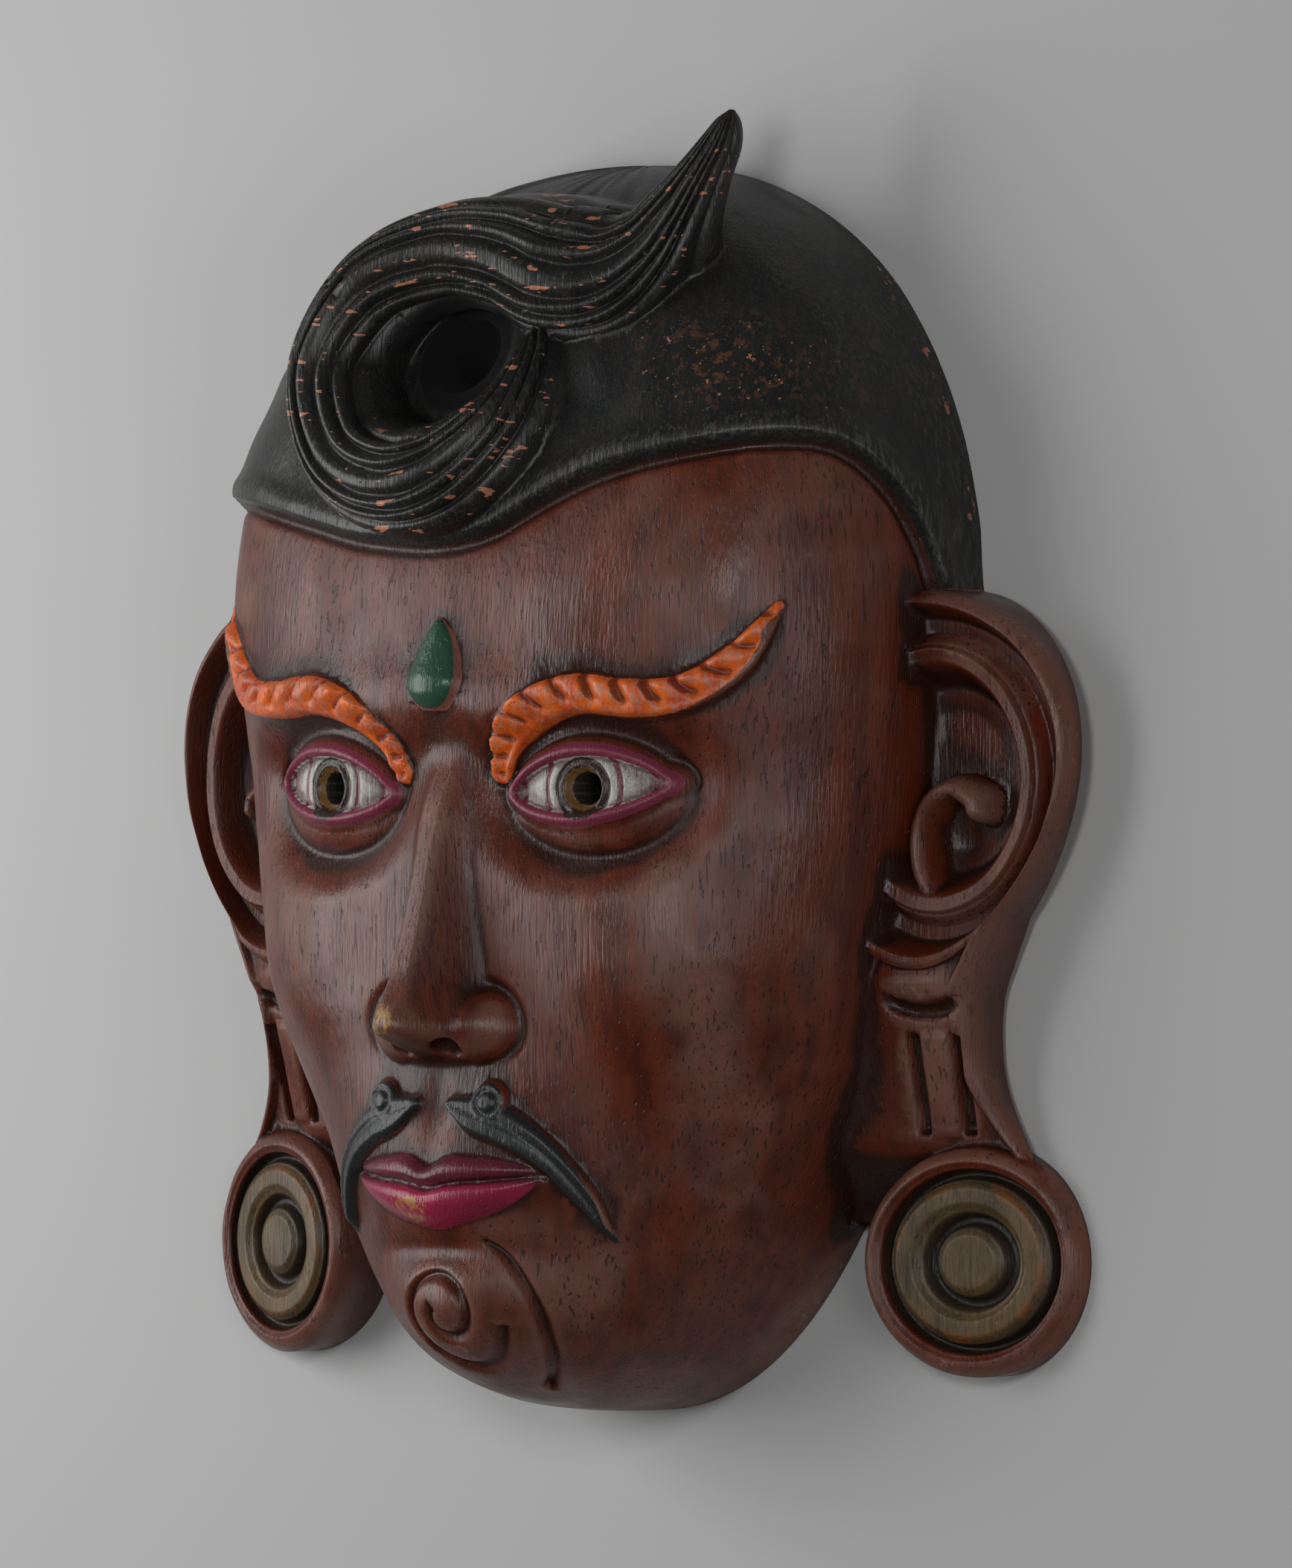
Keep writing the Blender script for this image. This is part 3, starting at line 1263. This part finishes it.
# %% The stain
bloom = both(specks((34, 46, 34), 0.5, 0.66, 3, 0.55), step(tree, sunken, -0.6, 1.2, 0, 0.45))
layers = tinted(
    two_tones(step(tree, lines["Streak"], 0.32, 0.68), (0.1, 0.017, 0.005), (0.052, 0.008, 0.003)),
    (step(tree, lines["Cloud"], 0.45, 0.72, 0, 0.45), (0.11, 0.032, 0.019)),
    (bloom, (0.19, 0.1, 0.08)),
    (step(tree, lines["Fibre"], 0.5, 0.74, 0, 0.4), (0.022, 0.008, 0.006)),
    (both(lines["Pore"], 0.75), (0.012, 0.005, 0.004)),
    (step(tree, sunken, -0.1, -1.4, 0, 0.7), (0.075, 0.012, 0.003)),
    (step(tree, sunken, -1, -5, 0, 0.5), (0.02, 0.007, 0.004)),
    (step(tree, stands, 0.12, 0.6, 0, 0.4), (0.17, 0.085, 0.06)),
    (both(worn["Grime"], 0.85), (0.014, 0.004, 0.002)),
    (both(worn["Worn"], 0.4), (0.26, 0.14, 0.1)),
)
gloss = step(tree, lines["Cloud"], 0.3, 0.7, 0.3, 0.5)


def lay(mask, over, rough):
    """Lays a paint over what is there, with its own roughness."""
    global layers, gloss
    layers = mixed(tree, mask, layers, over)
    gloss = place(tree, "ShaderNodeMix", {0: mask, 2: gloss, 3: rough}, data_type="FLOAT").outputs[0]


# %% [markdown]
# ## Brows and drop
# The orange is thick body colour, so only its streaks and worn crests vary, and old grime fills
# the notches. The drop is green inside a thin brown outline.

# %% Orange brows and the green drop
crest = both(step(tree, stands, 0.15, 0.5), specks((1.2, 3, 1.2), 0.46, 0.6))
orange = tinted(
    two_tones(step(tree, lines["Streak"], 0.3, 0.7), (0.6, 0.11, 0.008), (0.4, 0.05, 0.006)),
    (both(crest, 0.55), (0.34, 0.17, 0.12)),
    (both(worn["Grime"], 0.7), (0.1, 0.018, 0.008)),
    (step(tree, field(tree, "notch"), 0.5, 1, 0, 0.85), (0.11, 0.016, 0.005)),
)
lay(inside(field(tree, "brow"), 0.5), orange, 0.4)
drop_field = field(tree, "drop")
lay(inside(calc(tree, "ADD", drop_field, 0.9), 0.8), colour(0.17, 0.06, 0.045), 0.45)
green = two_tones(worn["Worn"], (0.02, 0.06, 0.036), (0.07, 0.1, 0.06))
lay(inside(calc(tree, "SUBTRACT", drop_field, 0.3), 0.4), green, 0.24)

# %% [markdown]
# ## Eyes and lips
# Each eye is one flat shape of paint inside another: lids, white, ring, ochre and pupil. The
# same stored distance, compared with a larger or smaller value, gives them all.

# %% Eyes and lids
eye_field = field(tree, "eye")
iris_field = field(tree, "iris")
wine = tinted(
    two_tones(lines["Cloud"], (0.1, 0.012, 0.028), (0.2, 0.03, 0.062)),
    (both(worn["Grime"], 0.7), (0.035, 0.008, 0.01)),
)
lay(inside(calc(tree, "ADD", eye_field, 2.9), 0.6), wine, 0.4)
cells = place(tree, "ShaderNodeTexVoronoi", {"Vector": spot, "Scale": 420.0}, feature="DISTANCE_TO_EDGE")
white = tinted(
    two_tones(step(tree, lines["Cloud"], 0.3, 0.75), (0.4, 0.38, 0.34), (0.2, 0.19, 0.17)),
    (step(tree, cells.outputs["Distance"], 0.06, 0.0, 0, 0.5), (0.1, 0.075, 0.06)),
    (both(worn["Grime"], 0.8), (0.06, 0.025, 0.025)),
    (inside(field(tree, "arc"), 0.5), (0.1, 0.018, 0.028)),
)
lay(inside(calc(tree, "SUBTRACT", eye_field, 0.1), 0.3), white, 0.32)
ring_edge, ochre_edge, pupil_edge = 7.1, 4.9, 3.85
lay(inside(calc(tree, "SUBTRACT", ring_edge, iris_field), 0.4), colour(0.022, 0.012, 0.009), 0.34)
ochre = two_tones(lines["Cloud"], (0.2, 0.1, 0.03), (0.06, 0.03, 0.012))
lay(inside(calc(tree, "SUBTRACT", ochre_edge, iris_field), 1.6), ochre, 0.4)
lay(inside(calc(tree, "SUBTRACT", pupil_edge, iris_field), 0.3), colour(0.012, 0.008, 0.006), 0.6)

# %% Lips
lower_lip = step(tree, axes["Y"], (mouth_y + 1) * mm, (mouth_y - 1) * mm)
lip_red = tinted(
    two_tones(lower_lip, (0.07, 0.012, 0.02), (0.26, 0.012, 0.045)),
    (step(tree, lines["Cloud"], 0.4, 0.7, 0, 0.6), (0.14, 0.012, 0.03)),
    (both(worn["Worn"], 0.35), (0.42, 0.16, 0.18)),
    (both(worn["Grime"], 0.8), (0.02, 0.003, 0.006)),
)
lay(inside(field(tree, "lip"), 0.6), lip_red, 0.3)

# %% [markdown]
# ## The black hair
# Black over a pale primer wears to salmon flecks on the strands, chips along the rim and one
# rubbed brown patch. Noise cut at a threshold gives such scattered spots, and masks made from
# the stored values keep each kind in its place.

# %% Where the black paint is worn
flecks = both(specks((5.5, 1.6, 5.5), 0.645, 0.67, 2, 0.5), step(tree, stands, 0.12, 0.26))
flecks = both(flecks, field(tree, "lock"))
chips = both(step(tree, axes["Z"], 0.007, 0.001), specks((3, 6, 3), 0.63, 0.66))
rubbed = field(tree, "rubbed")
brown_patch = both(rubbed, specks((2.6, 3, 2.6), 0.53, 0.59, 5, 0.7))
bright_speck = both(specks((1.6, 2.2, 1.6), 0.67, 0.7), step(tree, rubbed, 0.05, 0.4))
primer = calc(tree, "MAXIMUM", flecks, calc(tree, "MAXIMUM", chips, bright_speck))
roll_half = 4
from_roll = calc(tree, "SUBTRACT", field(tree, "hair"), roll_half)
from_roll = calc(tree, "ABSOLUTE", calc(tree, "DIVIDE", from_roll, roll_half))
on_roll = step(tree, calc(tree, "SUBTRACT", 1, from_roll), 0, 0.7, 0.08, 0.6)
ticked = calc(tree, "MAXIMUM", on_roll, step(tree, stands, 0.1, 0.4, 0, 0.4))
ticks = both(specks((0.9, 7, 0.9), 0.5, 0.62, 2, 0.5), ticked)

# %% Black hair and moustache, with the pale primer under them
lay(inside(field(tree, "moustache"), 0.5), colour(0.014, 0.015, 0.015), 0.36)
pit_field = field(tree, "pit")
black = tinted(
    two_tones(step(tree, lines["Streak"], 0.3, 0.7), (0.008, 0.009, 0.009), (0.015, 0.014, 0.012)),
    (both(step(tree, lines["Cloud"], 0.5, 0.8), 0.3), (0.04, 0.024, 0.012)),
    (ticks, (0.05, 0.052, 0.04)),
    (both(brown_patch, 0.85), (0.1, 0.042, 0.02)),
    (primer, (0.38, 0.15, 0.09)),
    (step(tree, pit_field, 0, 3), (0.001, 0.001, 0.001)),
)
lay(inside(field(tree, "hair"), 0.6), black, step(tree, pit_field, 0, 3, 0.36, 1))

# %% [markdown]
# ## Gold
# Bronze paint covers the turned rings and is dark in their grooves. A little gold is left on the
# nose and the lower lip, broken up by noise so that it looks worn.

# %% Gold on the earrings, the nose and the lip
ring_field = field(tree, "ring")
turned = calc(tree, "ADD", ring_field, both(noise(tree, spot, (6, 6, 6), 3, 0.6), 3))
edge_wear = both(step(tree, turned, 17, 18.6), specks((5, 8, 5), 0.45, 0.62))
olive = tinted(
    two_tones(step(tree, lines["Cloud"], 0.35, 0.7), (0.105, 0.066, 0.026), (0.05, 0.034, 0.016)),
    (step(tree, lines["Fibre"], 0.45, 0.72, 0, 0.7), (0.016, 0.012, 0.008)),
    (both(worn["Worn"], 0.5), (0.28, 0.12, 0.05)),
    (both(edge_wear, 0.8), (0.17, 0.058, 0.014)),
)
for groove in (9.3, 19.6):
    from_groove = calc(tree, "ABSOLUTE", calc(tree, "SUBTRACT", ring_field, groove))
    from_groove = calc(tree, "ADD", from_groove, both(lines["Fibre"], 1.2))
    olive = tinted(olive, (step(tree, from_groove, 3.6, 1.2, 0, 0.94), (0.008, 0.006, 0.004)))
olive_edge = 20.6
lay(inside(calc(tree, "SUBTRACT", olive_edge, ring_field), 0.5), olive, 0.42)
gold_mask = both(inside(field(tree, "gold"), 4.0), specks((1.6, 3, 1.6), 0.4, 0.6))
lay(both(gold_mask, 0.8), colour(0.3, 0.17, 0.035), 0.36)

# %% [markdown]
# ## Fine relief
# Pores and fibres are too small to model, so a bump tilts the light on them instead.

# %% Fine relief
height = calc(tree, "SUBTRACT", both(lines["Fibre"], 0.2), both(lines["Pore"], 0.16))
height = calc(tree, "ADD", height, both(noise(tree, spot, (2.5, 6, 2.5), 2, 0.5), 0.12))
finish_shader(tree, shader, layers, gloss, height)
print("painted wood", len(tree.nodes), "nodes")

# %% [markdown]
# ## The bare back
# Nobody paints the inside of a mask. It is raw wood, darkened by handling, with the scoops of
# the gouge that hollowed it.

# %% The bare wood
bare, tree, shader, spot, lines = new_material("bare_wood")
raw = tinted(
    two_tones(step(tree, lines["Streak"], 0.3, 0.7), (0.3, 0.17, 0.09), (0.19, 0.1, 0.055)),
    (step(tree, lines["Fibre"], 0.45, 0.75, 0, 0.6), (0.1, 0.05, 0.028)),
    (lines["Pore"], (0.05, 0.025, 0.015)),
)
height = calc(tree, "SUBTRACT", both(lines["Fibre"], 0.14), both(lines["Pore"], 0.2))
finish_shader(tree, shader, raw, step(tree, lines["Fibre"], 0.3, 0.7, 0.55, 0.75), height)
print("bare wood", len(tree.nodes), "nodes")

# %% Put the finishes on the surface
hollowed = face_part == from_knife
across_x, along_y, centre = (
    np.bincount(corner_face, weights=values[corners]) / sides for values in (x, y, z)
)
pierced = np.hypot(np.abs(across_x) - eye_x, along_y - eye_y) < pupil_radius + 0.1
in_pit = np.hypot(across_x - pit_x, along_y - pit_y) < pit_radii[0] + 0.5
above_hollow = centre > 44
sunk = above_hollow & (in_pit | (along_y < nose_base_y + 8))
back = hollowed & ~pierced & ~sunk
mask_mesh.materials.clear()
for finish in (paint, bare):
    mask_mesh.materials.append(finish)
mask_mesh.polygons.foreach_set("material_index", back.astype(np.int32))
mask_mesh.polygons.foreach_set("use_smooth", np.ones(len(face_part), bool))
mask_mesh.update()
for word in part_names:
    bpy.data.materials.remove(bpy.data.materials[word])
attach(mask, "root")
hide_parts("carved_mask")
print("bare faces", int(back.sum()))

# %% [markdown]
# ## Floor and light
# The mask lies on a plain pale floor. A broad soft light low on the left models the face, a
# second one high on the far right lights the ears and the side of the cap, a small one in front
# draws the sheen on the wood, and an even sky fills the hollows.

# %% The floor
floor_half = 3.0
floor_mesh = bpy.data.meshes.new("floor")
floor_corners = [(floor_half * i, floor_half * j, 0) for i, j in ((-1, -1), (1, -1), (1, 1), (-1, 1))]
floor_mesh.from_pydata(floor_corners, [], [(0, 1, 2, 3)])
floor = in_scene("floor", floor_mesh)
floor_paint = bpy.data.materials.new("pale_floor")
floor_paint.use_nodes = True
floor_shader = floor_paint.node_tree.nodes["Principled BSDF"]
floor_shader.inputs["Base Color"].default_value = colour(0.4, 0.4, 0.4)
floor_shader.inputs["Roughness"].default_value = 0.9
floor_mesh.materials.append(floor_paint)
print("floor", 2 * floor_half, "m across")


# %% The lights
def soft_light(name, position, size, power):
    """A square soft box that points at the middle of the mask."""
    data = bpy.data.lights.new(name, "AREA")
    data.size = size
    data.energy = power
    light = in_scene(name, data)
    light.location = position
    aim = Vector((0, 0, 0.03)) - Vector(position)
    light.rotation_euler = aim.to_track_quat("-Z", "Y").to_euler()


soft_light("key", (-0.56, 0.06, 0.52), 0.6, 5.6)
soft_light("side", (1.35, -0.1, 0.95), 0.5, 5)
soft_light("front", (0.5, 0.15, 1.0), 0.22, 3.2)
world = bpy.data.worlds.new("sky")
scene.world = world
world.use_nodes = True
sky = world.node_tree.nodes["Background"]
sky.inputs["Color"].default_value = colour(1, 1, 1)
sky.inputs["Strength"].default_value = 0.09
scene.view_settings.view_transform = "Standard"
